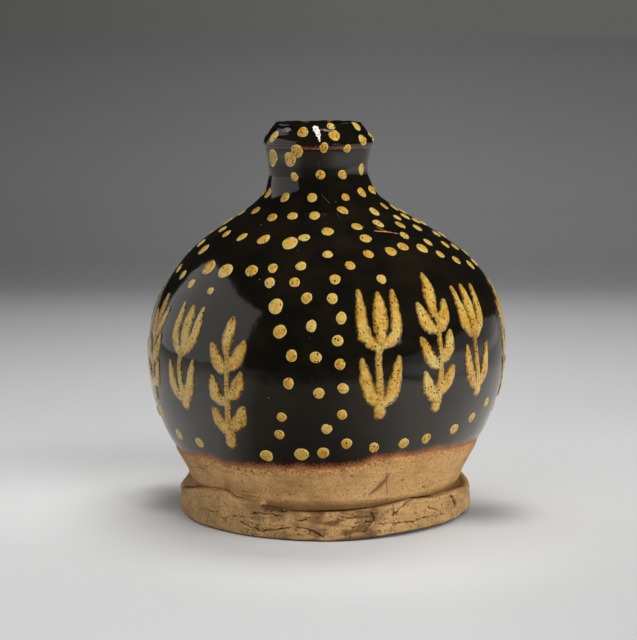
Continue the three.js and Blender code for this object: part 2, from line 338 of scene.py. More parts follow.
def glazeMaterial():
    # Iron-dark slip under a clear lead glaze: nearly black, warm where it thins, with a deep wet gloss.
    # The lower edge burns from rust to orange and runs out dry on the clay.
    material, tree = newMaterial(glaze["name"])
    place = addNode(tree, "NewGeometry")
    cloud = addNode(tree, "TexNoise", place, size=glaze["cloud"], Detail=4, Roughness=0.6)
    body = addNode(tree, "ValToRGB", cloud, stops=[(0.4, glaze["dark"]), (0.75, glaze["warm"])])
    cells = addNode(tree, "TexVoronoi", place, size=glaze["speck"], Randomness=1.0)
    near = addNode(tree, "MapRange", cells, range=(0.035, 0.06, 1, 0))
    some = addNode(tree, "SeparateColor", cells.outputs["Color"])
    chosen = addNode(tree, "Math", some, glaze["speckless"], operation="GREATER_THAN")
    speck = addNode(tree, "Math", near, chosen, operation="MULTIPLY")
    specked = addNode(tree, "Mix", speck, body, linear(glaze["pale"]))

    edge = addNode(tree, "Attribute", attribute_name="edge")
    grain = addNode(tree, "TexNoise", place, size=glaze["fray"], Detail=4, Roughness=0.8)
    ragged = addNode(tree, "Math", grain, 2.3, -1.15, operation="MULTIPLY_ADD")
    reach = addNode(tree, "MapRange", edge, range=(0.0, 0.15))
    frayed = addNode(tree, "Math", ragged, reach, operation="MULTIPLY")
    burnt = addNode(tree, "Math", edge, frayed, operation="ADD")
    rust = addNode(tree, "ValToRGB", burnt, stops=glaze["rust"])
    share = addNode(tree, "MapRange", burnt, range=(0.05, 0.3))
    edged = addNode(tree, "Mix", share, specked, rust)

    dry = addNode(tree, "MapRange", burnt, range=(0.3, 0.8, glaze["roughness"], glaze["dry"]))
    swell = addNode(tree, "TexNoise", place, size=glaze["swell"], Detail=2, Roughness=0.4)
    soft = addNode(tree, "Bump", Strength=0.7, Distance=0.16 * mm, Height=swell)
    dimple = addNode(tree, "TexNoise", place, size=glaze["dimple"], Detail=2)
    bump = addNode(tree, "Bump", Strength=0.03, Distance=0.2 * mm, Height=dimple, Normal=soft)
    shader = addNode(tree, "BsdfPrincipled", edged, IOR=glaze["ior"], Roughness=dry, Normal=bump)
    addNode(tree, "OutputMaterial", shader)
    return material


slip = {
    "name": "trailed_slip_under_lead_glaze",
    "pinhole": 0.95,  # spacing of the dark pinholes, mm
    "mottle": 0.9,  # size of the amber mottling, mm
    "streak": 0.55,  # width of the streaks where it is worn thin, mm
    # from the thin rim to the thick middle
    "colours": [(0.0, "a3945e"), (0.16, "b09b56"), (0.36, "ae8b3d"), (0.58, "a47a2a"), (0.76, "8a5e1f"),
                (1.0, "532f10")],
    "hole": "24160a",
    "worn": "33210d",
    "ior": 1.56,
    "roughness": 0.14,
}


def slipMaterial():
    # Pale slip trailed on the dark one and turned honey yellow by the lead glaze: the thin rim lets the
    # dark through and looks greenish, the thick middle is mottled amber, and pinholes show as black specks.
    material, tree = newMaterial(slip["name"])
    place = addNode(tree, "NewGeometry")
    thick, tint, cover = (addNode(tree, "Attribute", attribute_name=mark)
                          for mark in ("thick", "tint", "cover"))
    mottle = addNode(tree, "TexNoise", place, size=slip["mottle"], Detail=5, Roughness=0.7)
    wander = addNode(tree, "Math", mottle, 2.1, -1.05, operation="MULTIPLY_ADD")
    depth = addNode(tree, "Math", thick, wander, operation="ADD")
    tinted = addNode(tree, "Math", tint, 0.13, depth, operation="MULTIPLY_ADD")
    colour = addNode(tree, "ValToRGB", tinted, stops=slip["colours"])
    hole = holesIn(tree, place, slip["pinhole"], (0.35, 1.0, 0.0, 0.4), (-0.02, 0.04))
    pinned = addNode(tree, "Mix", hole, colour, linear(slip["hole"]))
    flow = addNode(tree, "Mapping", place, Scale=(1, 1, 0.16))
    streaks = addNode(tree, "TexNoise", flow, size=slip["streak"], Detail=4, Roughness=0.7)
    worn = addNode(tree, "Math", streaks, 1.6, -0.8, operation="MULTIPLY_ADD")
    left = addNode(tree, "Math", cover, worn, operation="ADD")
    share = addNode(tree, "MapRange", left, range=(0.0, 0.85))
    covered = addNode(tree, "Mix", share, linear(slip["worn"]), pinned)
    lower = addNode(tree, "Math", hole, -1.5, mottle, operation="MULTIPLY_ADD")
    bump = addNode(tree, "Bump", Strength=0.2, Distance=0.12 * mm, Height=lower)
    shader = addNode(tree, "BsdfPrincipled", covered, IOR=slip["ior"], Roughness=slip["roughness"],
                     Normal=bump)
    addNode(tree, "OutputMaterial", shader)
    return material


clay = {
    # shades from pale to dark; pits by their spacing in mm, share and width; how strong flecks and lines are
    "turned": {"shades": ("cba26c", "ba905a", "987243"), "spacing": 0.9, "share": 0.35, "widest": 0.26,
               "flecks": 0.6, "lines": 0.1},
    "pressed": {"shades": ("bd9663", "a98454", "88683f"), "spacing": 0.8, "share": 0.6, "widest": 0.34,
                "flecks": 0.8, "lines": 0.05},
    "cloud": 9,  # size of its paler and darker clouds, mm
    "grain": 0.45,  # size of the grit, mm
    "fleck": 0.7,  # size of the brown flecks, mm
    "turning": 0.9,  # spacing of the turning lines, mm
    "blush": "8c5426",
    "dirt": "5b3f22",
    "pit": "4a331c",
    "brown": "5e4123",
    "crack": "2f1f11",
    "ior": 1.5,
    "roughness": 0.82,
}


def clayMaterial(name, kind):
    # Buff earthenware, bare and matt: grit and open pits, lines left by turning on the wheel,
    # an orange blush by the glaze, dirt and cracks that also carry painted shade in grooves and seams.
    material, tree = newMaterial(name)
    pale, middle, deep = kind["shades"]
    lines = kind["lines"]
    place = addNode(tree, "NewGeometry")
    cloud = addNode(tree, "TexNoise", place, size=clay["cloud"], Detail=6, Roughness=0.7)
    body = addNode(tree, "ValToRGB", cloud, stops=[(0.3, deep), (0.5, middle), (0.72, pale)])
    flat = addNode(tree, "Mapping", place, Scale=(0.06, 0.06, 1))
    turned = addNode(tree, "TexNoise", flat, size=clay["turning"], Detail=3, Roughness=0.6)
    streak = addNode(tree, "MapRange", turned, range=(0.35, 0.7, 1 - lines, 1 + lines * 0.4))
    lined = addNode(tree, "Mix", 1.0, body, streak, blend_type="MULTIPLY")
    grit = addNode(tree, "TexNoise", place, size=clay["grain"], Detail=4, Roughness=0.7)
    shade = addNode(tree, "MapRange", grit, range=(0.3, 0.6, 0.62, 1.1))
    gritty = addNode(tree, "Mix", 1.0, lined, shade, blend_type="MULTIPLY")

    fine = addNode(tree, "TexNoise", place, size=clay["fleck"], Detail=3, Roughness=0.6)
    blush, dirt, crack = (addNode(tree, "Attribute", attribute_name=mark)
                          for mark in ("blush", "dirt", "crack"))
    singed = addNode(tree, "MapRange", fine, range=(0.4, 0.62, 0.15, 1.45))
    burnt = addNode(tree, "Math", blush, singed, operation="MULTIPLY")
    patchy = addNode(tree, "MapRange", grit, range=(0.35, 0.62))
    # this dirt layer also carries painted shade in grooves, on the ledge and by the table
    soilAndShading = addNode(tree, "Math", patchy, 0.6, dirt, operation="MULTIPLY_ADD")
    soiledAndShaded = addNode(tree, "Math", soilAndShading, dirt, operation="MULTIPLY")

    pit = holesIn(tree, place, kind["spacing"], (1 - kind["share"], 1.0, 0.02, kind["widest"]), (0.0, 0.07))
    many = addNode(tree, "MapRange", cloud, range=(0.35, 0.7, 0.62, 0.54))
    beyond = addNode(tree, "Math", fine, many, operation="SUBTRACT")
    over = addNode(tree, "Math", blush, 0.1, beyond, operation="MULTIPLY_ADD")
    fleck = addNode(tree, "MapRange", over, range=(0.0, 0.05, 0.0, kind["flecks"]))
    shown = gritty
    layers = {"blush": burnt, "dirt": soiledAndShaded, "pit": pit, "brown": fleck, "crack": crack}
    for layer, share in layers.items():
        shown = addNode(tree, "Mix", share, shown, linear(clay[layer]))

    relief = addNode(tree, "Math", pit, -1.2, grit, operation="MULTIPLY_ADD")
    ridged = addNode(tree, "Math", turned, lines * 2, relief, operation="MULTIPLY_ADD")
    bump = addNode(tree, "Bump", Strength=0.55, Distance=0.25 * mm, Height=ridged)
    shader = addNode(tree, "BsdfPrincipled", shown, IOR=clay["ior"], Roughness=clay["roughness"],
                     Normal=bump)
    addNode(tree, "OutputMaterial", shader)
    return material


glazeFinish = glazeMaterial()
slipFinish = slipMaterial()
turnedClay = clayMaterial("turned_buff_earthenware", clay["turned"])
handClay = clayMaterial("hand_pressed_buff_earthenware", clay["pressed"])
print("materials made")


# The coat of dark slip and glaze

coat = {
    "columns": 420,
    "top": 131.1,
    "thickness": 0.5,
    "fade": 3.6,  # from the dark edge down to bare clay, mm
    "fine": 8,  # mm above the coat's foot that have the finer rows
    "span": 91,  # mm from there up to its top
    # the dark edge above the clay, in pixels of the matched view
    "edge": [(180, 446), (200, 449), (222, 457), (240, 460), (262, 461), (290, 461), (320, 462), (345, 460),
             (365, 456), (378, 452), (400, 449), (420, 447), (445, 442), (472, 437)],
    # and round the back: degrees and mm
    "backEdge": [(95, 29), (120, 28.2), (150, 29.3), (180, 30.4), (210, 31.8), (235, 31), (258, 28.8),
                 (275, 28)],
}


def coatEdgeAt(turn):
    front = [castOnPot(x, y) for x, y in coat["edge"]]
    back = [(math.radians(a), z) for a, z in coat["backEdge"]]
    stations = sorted((a % math.tau, z) for a, z in front + back)
    angles = np.array([a for a, z in stations])
    heights = np.array([z for a, z in stations])
    return np.interp(turn % math.tau, angles, heights, period=math.tau)


def makeCoat():
    turns = np.arange(coat["columns"]) * math.tau / coat["columns"]
    darkEdge = coatEdgeAt(turns)
    darkEdge = darkEdge + 0.35 * np.sin(23 * turns + 1) * np.sin(7 * turns) + 0.2 * np.sin(41 * turns + 2)
    bottom = darkEdge - coat["fade"]
    fine, span = coat["fine"], coat["span"]
    rows = []
    edge = []
    for step in (*np.linspace(0, fine, 34)[:-1], *np.linspace(fine, fine + span, 150)):
        share = max(0, (step - fine) / span)
        z = (bottom + step) * (1 - share) + coat["top"] * share
        rise = smooth((z - bottom) / (coat["fade"] * 1.3))
        rows.append(onPot(turns, z, (rise - 1) * (coat["thickness"] - 0.06)))
        edge.append(np.clip(1 - (z - bottom) / coat["fade"], 0, 1))
    for share in np.linspace(1, 0, 14):
        z = bottom * (1 - share) + coat["top"] * share
        rows.append(onPot(turns, z, -coat["thickness"]))
        edge.append(np.zeros_like(turns))
    points = np.stack(rows).reshape(-1, 3)
    faces = ringFaces(len(rows), len(turns), True)
    meshPiece("dark_glaze_coat", points, faces, {"edge": np.stack(edge)}, glazeFinish,
              "glaze", "glaze_coat")
    print("coat made,", len(points), "points")


makeCoat()


# The thrown pot under the coat

body = {
    "columns": 560,
    "baseRings": [0, 12, 24, 34, 41, 44.4],
    "baseRadius": 45.6,
    "baseDish": 0.4,  # how far the middle of the base stands clear
    "floorRadius": 30,
    "floorHeight": 9,
    "heelRadius": 44.5,
    "innerStart": 22,
    "neckStart": 131,  # the neck's wall stands straight from there up
    "neckRadius": 15,
    "neckTop": 138.6,
    "mouthRadius": 12.5,
    "fingerRings": 0.25,  # depth of the rings that fingers left inside
    # a leaf-shaped stain and nicks in the clay, in pixels of the matched view
    "stain": [(369, 495, 1.2), (374, 491, 3.2), (380, 486, 4.4), (386, 479, 3.4), (390, 473, 1.6)],
    "nicks": [(289, 494), (243, 491), (250, 499), (402, 480), (206, 466), (423, 487), (300, 486), (351, 476)],
}


def makeBody():
    turns = np.arange(body["columns"]) * math.tau / body["columns"]
    edge = coatEdgeAt(turns)
    rows = []

    def addRow(radius, z):
        rows.append(ringAt(radius, z, turns))

    for radius in body["baseRings"]:
        addRow(radius, 0.1 + body["baseDish"] * (1 - smooth(radius / 44)))
    addRow(body["baseRadius"] - 0.3, 0.1)
    for z in (0.6, 4, 7):
        addRow(body["baseRadius"], z)
    for z in (*np.arange(8.6, 36, 0.45), *np.arange(37, body["neckStart"], 3)):
        under = smooth((z - edge + coat["fade"] + 1.5) / 2.5)
        rows.append(onPot(turns, z + 0 * turns, -(coat["thickness"] + 0.08) * under))
    for z in np.linspace(body["neckStart"], body["neckTop"], 5):
        addRow(body["neckRadius"], z)
    addRow(body["neckRadius"] - 1, body["neckTop"] + 0.2)
    addRow(body["mouthRadius"], body["neckTop"])
    for z in np.arange(134, body["innerStart"], -3.0):
        ring = body["fingerRings"] * math.sin(z * 0.9)
        inside = onPot(turns, min(z, body["neckStart"]) + 0 * turns, ring - pot["wall"])
        rows.append(inside + (0, 0, max(0, z - body["neckStart"])))
    heel = onPot(np.zeros(1), np.array([body["innerStart"]]), -pot["wall"])[0]
    for t in np.linspace(0.15, 1, 8):
        radius = (1 - t) ** 2 * -heel[1] + 2 * t * (1 - t) * body["heelRadius"] + t * t * body["floorRadius"]
        addRow(radius, (1 - t) ** 2 * heel[2] + (1 - (1 - t) ** 2) * body["floorHeight"])
    for radius in (20, 10, 0):
        addRow(radius, body["floorHeight"] + 0.3)

    points = np.stack(rows).reshape(-1, 3)
    heights = points[:, 2]
    outer = np.arange(len(points)) < len(points) * 0.62
    edges = np.tile(edge, len(rows))
    blush = smooth(1 - (edges - coat["fade"] * 0.7 - heights) / 4.5) * outer * (heights < edges + 1)
    nicks = markAll(points, [[(x, y, 1.5), (x + 1.5, y + 0.8, 1.2)] for x, y in body["nicks"]])
    hollow = smooth(nicks)
    turn = np.arctan2(points[:, 0], -points[:, 1])
    points[:, 0] -= np.sin(turn) * hollow * 0.5
    points[:, 1] += np.cos(turn) * hollow * 0.5
    stain = 0.75 * smooth(markAlong(points, body["stain"]))
    # painted shade: darker just above the strap, in the groove where the pot meets it
    grooveShade = 0.55 * smooth(1 - (heights - 11.5) / 2.5) * outer
    marks = {
        "blush": blush * np.where(np.abs(turn - 0.8) < 0.4, 0.55, 0.8),
        "crack": nicks * 0.8,
        "dirt": np.maximum(stain, grooveShade),
    }
    meshPiece("thrown_pot", points, ringFaces(len(rows), len(turns), False), marks, turnedClay,
              "clay", "thrown_body")
    print("pot made,", len(points), "points")


makeBody()


# The strap of clay round the foot

foot = {
    "columns": 1080,
    "radius": (footHigh.x / mm) + 0.4,
    "inner": 46.1,
    "groove": 0.8,  # depth of the groove between the strap and the pot
    "lowerRound": 1.3,
    "upperRound": 1.4,
    "raised": 1.15,  # its right stands that far clear of the table
    "lapEnd": -24.5,  # degrees: the strap's end, at the front left
    # the strap's top edge against the pot, degrees and mm
    "top": [(-180, 11.3), (-150, 11.0), (-120, 11.6), (-95, 9.9), (-80, 9.5), (-73, 10.4), (-62, 12.7),
            (-53, 14.2), (-43, 15.0), (-37, 13.4), (-32, 13.5), (-25.5, 13.4), (-24, 11.0), (-13, 10.2),
            (-3, 10.2), (7, 10.5), (18, 11.2), (23, 11.7), (27, 12.2), (34, 12.9), (46, 11.8), (53, 12.2),
            (65, 11.6), (80, 9.8), (95, 10.4), (120, 11.4), (150, 11.9), (180, 11.3)],
    # cracks, seams and hollows in pixels of the matched view, with their half widths
    "pocket": [(262.5, 507.5, 4.4), (268, 509, 3.8), (276, 510.5, 2.6), (285, 511.5, 1.6)],
    "seam": [(285, 511.5, 1.2), (318, 512, 1.0), (345, 511, 1.0), (372, 508, 1.0), (386, 505.5, 1.3),
             (398, 502, 1.3), (411, 499, 1.0), (435, 497, 0.9), (447, 493, 1.0), (461, 485, 1.2)],
    "crease": [(183, 487, 1.5), (205, 486.8, 0.9), (222, 488, 0.9), (230, 492, 1.1), (236, 497, 1.1),
               (243, 497.8, 0.7)],
    "cracks": [
        [(240, 521.5, 0.7), (250, 527, 0.9), (262, 531.5, 1.1), (275, 530, 1.0), (286, 527.6, 0.9),
         (296, 527, 0.9), (304, 529.5, 1.0), (313, 531, 1.0), (319, 535, 1.1), (325, 539, 1.0)],
        [(250, 513, 0.7), (263, 513.5, 0.9), (280, 516, 0.6)],
        [(296, 521.5, 0.6), (304, 520.5, 0.9), (310, 518.5, 0.8)],
        [(411, 499.5, 0.8), (403, 506, 1.1), (396, 512.5, 1.6), (392.5, 514.5, 1.4)],
        [(393, 505, 0.6), (393.6, 514, 0.8), (393, 523, 0.8), (394, 532, 0.7)],
        [(376, 524, 0.6), (392, 523.6, 0.9), (403, 522.6, 1.3), (413, 521.4, 1.1), (425, 517.5, 1.2),
         (437, 516, 0.6)],
        [(372, 513, 0.8), (374, 520, 0.9), (369, 526, 1.3), (363, 532, 1.2)],
        [(352, 528, 0.8), (361, 525, 1.1), (371, 521, 0.8)],
        [(338, 517, 0.6), (348, 519, 0.8), (356, 516.5, 0.6)],
        [(428, 507, 0.6), (437, 510, 0.9), (443, 515, 0.7)],
        [(222, 519, 0.6), (232, 516, 0.7), (243, 516.5, 0.6)],
        [(200, 508, 0.5), (212, 512, 0.7), (219, 511, 0.5)],
        [(452, 496, 1.2), (455, 502, 1.8), (457, 508, 1.2)],
    ],
    "grime": [(340, 535, 3), (352, 531, 4), (364, 528, 4.5), (371, 521, 3), (376, 514, 2)],
    # how dark the strap is, by degrees: dirt at the front, painted light where kept low at left and right
    "soilAndShading": [(-180, 0.4), (-100, 0.2), (-60, 0.05), (-36, 0.25), (-26, 0.75), (-5, 0.8), (3, 1.3), (14, 1.35),
             (20, 0.8), (26, 0.1), (40, 0.15), (50, 0.5), (70, 0.55), (180, 0.4)],
    "pits": 520,
}


def makeFoot():
    turns = (np.arange(foot["columns"]) * math.tau / foot["columns"] + math.pi) % math.tau - math.pi
    degrees = np.degrees(turns)
    top = np.interp(degrees, *np.array(foot["top"], float).T)
    onLap = (degrees < foot["lapEnd"]) & (degrees > -100)
    lap = np.where(onLap, smooth((degrees + 100) / 35), 0)
    lipTop = np.where(onLap, top - 0.4 - smooth((degrees + 44) / 20) * 0.6, top - 0.15)
    groove = np.where(onLap, 0, foot["groove"])
    radius = foot["radius"] + 0.18 * np.sin(5 * turns + 1) + 0.12 * np.sin(13 * turns + 2)
    raised = foot["raised"] * smooth((degrees - 6) / 24) * smooth((88 - degrees) / 18)
    inner = foot["inner"] + 0 * turns
    join = np.maximum(radiusAt(top) - 0.35, foot["inner"])
    lower, upper = foot["lowerRound"], foot["upperRound"]

    # the section goes outward under the strap, up its side, over its lip and down into the groove
    section = []
    for share in np.linspace(0, 1, 6)[:-1]:
        section.append((inner + (radius - lower - inner) * share, raised))
    for bow in np.radians(np.linspace(0, 90, 8)):
        section.append((radius - lower + lower * math.sin(bow), raised + 1.5 * (1 - math.cos(bow))))
    for share in np.linspace(0, 1, 38)[1:-1]:
        swell = 0.15 * math.sin(share * 5) + 0.5 * lap * smooth(share * 1.8 - 0.5)
        section.append((radius + swell, raised + 1.5 + (lipTop - upper - raised - 1.5) * share))
    lipRadius = radius + 0.4 * lap
    for bow in np.radians(np.linspace(0, 90, 8)):
        section.append((lipRadius - upper * (1 - math.cos(bow)), lipTop - upper + upper * math.sin(bow)))
    for share in np.linspace(0, 1, 11)[1:]:
        inward = radius + 0.4 * lap * (1 - share) - upper + (join - radius + upper) * share
        section.append((inward, lipTop + (top - lipTop) * share**1.5 - groove * smooth(share * 1.8)))
    section.append((inner, top - 1.2 - groove))
    section.append((inner, 6 + 0 * turns))
    points = np.stack([ringAt(reach, z, turns) for reach, z in section]).reshape(-1, 3)

    # cracks, seams and the rough skin of pressed clay, with painted shade in the groove and by the table
    allTurns, allDegrees, allRaised, allOnLap = (
        np.tile(row, len(section)) for row in (turns, degrees, raised, onLap))
    wander = np.stack([roughAt(points, 1.6, 11), roughAt(points, 1.4, 12)], -1) * 1.6
    broken = np.clip(0.75 + 1.1 * roughAt(points, 2.4, 13), 0.15, 1)
    pocket = smooth(markAlong(points, foot["pocket"], wander) * 1.6)
    seam = markAlong(points, foot["seam"], wander * 0.4) * (0.5 + 0.5 * broken)
    crease = markAlong(points, foot["crease"], wander * 0.4)
    cracks = markAll(points, foot["cracks"], wander) * broken
    layered = roughAt(points * (1, 1, 3.2), 4, 14)
    uneven = 0.16 * roughAt(points, 6, 1) + 0.12 * layered
    uneven += 0.08 * roughAt(points, 2, 2) + 0.05 * roughAt(points, 0.8, 3)
    soilAndShading = np.interp(allDegrees, *np.array(foot["soilAndShading"], float).T)
    # painted contact shadow: darker towards the strap's bottom, by the table
    contactShade = smooth(1 - (points[:, 2] - allRaised) / 1.3)
    dirt = soilAndShading * smooth(0.6 + roughAt(points, 5, 4) * 0.9 - layered * 0.6) + 0.6 * contactShade

    random.seed(11)
    tree = kdtree.KDTree(len(points))
    for index, point in enumerate(points):
        tree.insert(point, index)
    tree.balance()
    pitDepth = np.zeros(len(points))
    for _ in range(foot["pits"]):
        size = random.choice((0.2, 0.25, 0.3, 0.45))
        centre = ringAt(foot["radius"], 0, random.uniform(-math.pi, math.pi))
        centre[2] = random.uniform(0.5, 11.5)
        for _, index, gap in tree.find_range(centre, size * 1.6):
            pitDepth[index] = max(pitDepth[index], size * 0.8 * (1 - (gap / size / 1.6) ** 2))

    inward = uneven - pitDepth - 2.6 * pocket - 0.7 * smooth(cracks * 1.5)
    inward -= 0.5 * smooth(seam * 1.5) + 0.5 * smooth(crease * 1.5)
    inward *= np.where(points[:, 2] < 0.3, 0.2, 1)
    points[:, 0] += np.sin(allTurns) * inward
    points[:, 1] -= np.cos(allTurns) * inward
    reach = np.hypot(points[:, 0] - float(shiftAt(0)), points[:, 1])
    # painted shade: darker on the ledge between the strap and the pot, and along the strap's bottom edge
    ledgeShade = smooth((foot["radius"] - 1.2 - reach) / 1.5) * (points[:, 2] > 7) * ~allOnLap
    under = smooth(1 - (points[:, 2] - allRaised) / 0.9)
    grime = 0.6 * smooth(markAlong(points, foot["grime"]))
    # painted shade: the pocket, the seam and crease lines and the bottom edge are darkened with the real
    # cracks and pits
    dark = smooth(cracks * 1.3) + pocket * 0.75 + seam * 0.9 + crease * 0.85 + pitDepth * 1.3 + under * 0.8
    marks = {
        "crack": np.clip(dark, 0, 0.9),
        "dirt": np.clip(np.maximum(dirt, ledgeShade * 0.7) + grime, 0, 1) * 0.8,
        "blush": np.zeros(len(points)),
    }
    meshPiece("foot_strap", points, ringFaces(len(section), len(turns), True), marks, handClay,
              "clay", "foot_band")
    print("foot made,", len(points), "points")


makeFoot()


# The roll of clay round the mouth and the glaze on it

mouth = {
    "columns": 400,
    "bottom": 131.2,
    "swell": 0.6,  # how far the roll stands out
    "widest": 133.4,  # the height where it does
    "halfSwell": 2.4,
    "thinnest": 0.15,  # radians: where the glaze ran thinnest
    # the clay under the glaze: heights and lifts outside, then the bore's radius and heights
    "roll": [(131.0, -0.5), (132.1, -0.55), (134.2, -0.6), (136.4, -0.6), (138.2, -0.6), (139.3, -0.6)],
    "boreRadius": 15.1,
    "boreHeights": [139.0, 136, 133, 131.2],
    # the glaze: heights and lifts at its foot, radii and drops over the rim, and the way back inside it
    "glazeFoot": [(131.4, -0.5), (131.25, -0.2), (131.2, 0.1), (131.3, 0.25)],
    "lip": [(15.4, 0.22), (14.8, 0.08), (14.2, 0.0), (13.6, 0.02), (13.0, 0.2), (12.6, 0.6), (12.2, 1.3),
            (11.8, 2.6), (11.6, 4.5)],
    "inside": [(12.1, 135.6), (12.3, 138.2), (14, 138.9)],
    "back": [138.6, 136.4, 134.2, 132.4],
    # chips at the mouth's edge: degrees, width in mm, depth in mm
    "chips": [(-50, 1.2, 0.5), (-41, 1.5, 0.6), (-31, 1.2, 0.5), (-22, 1.4, 0.5), (-12, 1.1, 0.4),
              (-3, 1.5, 0.4), (8, 1.1, 0.4), (19, 1.4, 0.3), (38, 1.2, 0.4), (70, 1.6, 0.5), (112, 2, 0.6),
              (140, 1.2, 0.4), (163, 1.8, 0.5), (-160, 2.2, 0.6), (-135, 1.2, 0.4), (-110, 1.5, 0.5),
              (-72, 1.5, 0.4)],
}


def collarSwell(z):
    # how far the roll stands out from the outline, mm
    z = np.asarray(z, float)
    swell = mouth["swell"] * np.clip(1 - ((z - mouth["widest"]) / mouth["halfSwell"]) ** 2, 0, 1)
    return np.where(z > mouth["bottom"], swell, 0)


def makeRoll():
    turns = np.arange(240) * math.tau / 240
    rows = [onPot(turns, z + 0 * turns, lift) for z, lift in mouth["roll"]]
    rows += [ringAt(mouth["boreRadius"], z, turns) for z in mouth["boreHeights"]]
    points = np.stack(rows).reshape(-1, 3)
    marks = {name: np.zeros(len(points)) for name in ("crack", "dirt", "blush")}
    meshPiece("clay_roll", points, ringFaces(len(rows), len(turns), True), marks, turnedClay,
              "clay", "rim_collar")


def makeCollar():
    turns = np.arange(mouth["columns"]) * math.tau / mouth["columns"]
    wave = 0.35 * np.sin(3 * turns + 0.8) + 0.2 * np.sin(7 * turns) + 0.12 * np.sin(17 * turns + 1)
    rim = pot["rim"][1]
    rows = []
    low = []  # how near the rusty lower edge
    for z, lift in mouth["glazeFoot"]:
        rows.append(onPot(turns, z + 0.18 * wave, lift))
        low.append(np.full(len(turns), 1.0))
    for z in np.linspace(131.6, 139.4, 30):
        height = z + 0.18 * wave * (1 - (z - 131) / 9)
        rows.append(onPot(turns, height, collarSwell(z) + 0.3 * wave * smooth((z - 133) / 4)))
        patchy = 0.8 + 0.3 * np.sin(9 * turns + 2) * np.sin(4 * turns)
        low.append(smooth(1 - (z - mouth["bottom"]) / 2) * patchy)
    for radius, drop in mouth["lip"]:
        rows.append(ringAt(radius, rim - drop, turns) + np.outer(0.3 * wave - 0.12, (0, 0, 1)))
        low.append(np.zeros(len(turns)))
    for radius, z in mouth["inside"]:
        rows.append(ringAt(radius, z, turns))
        low.append(np.zeros(len(turns)))
    for z in mouth["back"]:
        rows.append(onPot(turns, z + 0 * turns, -0.5))
        low.append(np.zeros(len(turns)))

    points = np.stack(rows).reshape(-1, 3)
    # the glaze ran thin along the lower edge, most of all at the front
    front = (turns - mouth["thinnest"] + math.pi) % math.tau - math.pi
    low = np.stack(low) * (0.3 + 0.7 * smooth(1.5 - np.abs(front) / 0.55))
    chip = np.zeros(len(points))
    for angle, width, depth in mouth["chips"]:
        centre = ringAt(13.6, rim, math.radians(angle)) + (0, 0, 0.4)
        gap = np.linalg.norm((points - centre) * (1, 1, 1.4), axis=1)
        chip = np.maximum(chip, np.clip((width - gap) / width, 0, 1) * depth * 1.8)
    chip *= np.clip(1 + 0.8 * roughAt(points, 0.8, 6), 0.3, 1.6)
    points[:, 2] -= np.clip(chip, 0, 0.9) * (points[:, 2] > 138.5)
    edge = np.clip(low.ravel() * 0.62 + np.clip(chip * 0.9, 0, 0.55), 0, 1)
    faces = ringFaces(len(rows), len(turns), True)
    meshPiece("collar_glaze_skin", points, faces, {"edge": edge}, glazeFinish, "glaze", "collar_glaze")
    print("collar made,", len(points), "points")


makeRoll()
makeCollar()


# Thin flaws that lie on the surface, and strips of painted shadow and painted highlight

flaws = {
    # name: slot, lift in mm, two shades, and lines in pixels of the matched view with their half widths
    "hairline_in_clay": ("clay", 0.03, "2e2114", "4a3722", [
        [(386.5, 469, 0.3), (386.2, 480, 0.45), (386.8, 490, 0.4), (386.5, 499, 0.45), (386.8, 506, 0.4)],
        [(189, 466, 0.4), (205, 468.5, 0.5), (208, 471, 0.3)]]),
    "scratch_in_glaze": ("glaze", 0.03, "7a4d20", "b5854a", [
        [(374, 231, 0.5), (380, 231.6, 0.8), (389, 232.4, 0.5), (398, 234, 0.4)],
        [(376, 227.5, 0.2), (383, 230.4, 0.4), (388, 232.2, 0.3)]]),
    "crazing_on_neck": ("glaze", 0.02, "24282a", "474a4b", [
        [(319, 160, 0.2), (318.6, 168, 0.3), (320, 184, 0.25)],
        [(320.5, 186, 0.3), (322, 195, 0.4), (329.5, 203, 0.6), (335, 209, 0.6), (338.5, 217, 0.35)],
        [(318, 186, 0.2), (313, 180, 0.3), (309, 178.5, 0.2)]]),
    # painted highlight: a pale streak on the collar where a glint shows
    "painted_highlight_at_mouth": ("glaze", 0.3, "a1978a", "e2d9c9", [
        [(313.6, 127, 1.4), (315, 128.4, 3.2), (317, 131, 3.7), (318.2, 134.5, 2.7), (319, 138, 1.6),
         (319.6, 142.5, 0.5)]]),
    # painted highlights: pale streaks on the collar where the lamps' reflections show
    "painted_glints_at_mouth": ("glaze", 0.32, "3d3836", "776e6b", [
        [(320, 130, 0.6), (325, 130.6, 1.2), (332, 131.8, 1.3), (339, 133.6, 0.6)],
        [(283.4, 131.8, 1.0), (286, 130.6, 2.6), (289, 130, 2.6), (291.4, 130.4, 0.8)]]),
    # painted shadow: a dark strip along the gap where the pot meets the strap
    "painted_shadow_above_strap": ("clay", 0.02, "1f150c", "3f2c18", [
        [(280, 509.6, 0.8), (300, 511, 1.5), (318, 510.8, 1.6), (345, 509.8, 1.5), (372, 506.8, 1.5),
         (386, 503.8, 1.6), (398, 500.8, 1.7), (411, 497.8, 1.5), (435, 495.2, 1.4), (447, 491.2, 1.5),
         (461, 483.4, 1.4)]]),
}

flawFinish = {"grain": 0.6, "ior": 1.5, "roughness": 0.5}  # grain in mm


